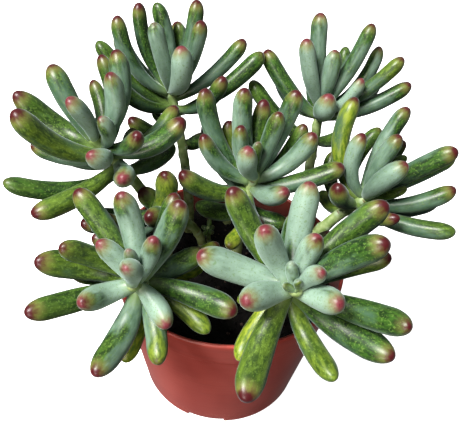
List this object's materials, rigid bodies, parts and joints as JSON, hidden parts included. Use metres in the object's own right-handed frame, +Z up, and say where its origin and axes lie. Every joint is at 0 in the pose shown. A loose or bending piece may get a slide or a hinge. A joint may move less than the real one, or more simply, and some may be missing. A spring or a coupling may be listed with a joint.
{
  "type": "potted jelly bean plant",
  "caption": "Flared round nursery pot of soil holding a clump of upright succulent stems, each topped by a rosette of plump, finger-like leaves with red tips.",
  "frame": {"origin": "centre of the pot's flat underside, on the surface that it stands on", "axes": "+Z up; -Y towards the viewer of the picture, who looks down at about 39 degrees; +X to that viewer's right"},
  "size_m": [0.1667, 0.1533, 0.1683],
  "materials": {
    "pot": "satin",
    "soil": "matte",
    "leaf": "satin"
  },
  "bodies": {
    "root": {"pot": "pot", "soil": "soil", "stem_front_left": "leaf", "stem_front_right": "leaf", "stem_left": "leaf", "stem_back_left": "leaf", "stem_centre": "leaf", "stem_back_right": "leaf", "stem_right": "leaf", "stem_inner_left": "leaf", "stem_back": "leaf", "sprout": "leaf"}
  },
  "joints": []
}
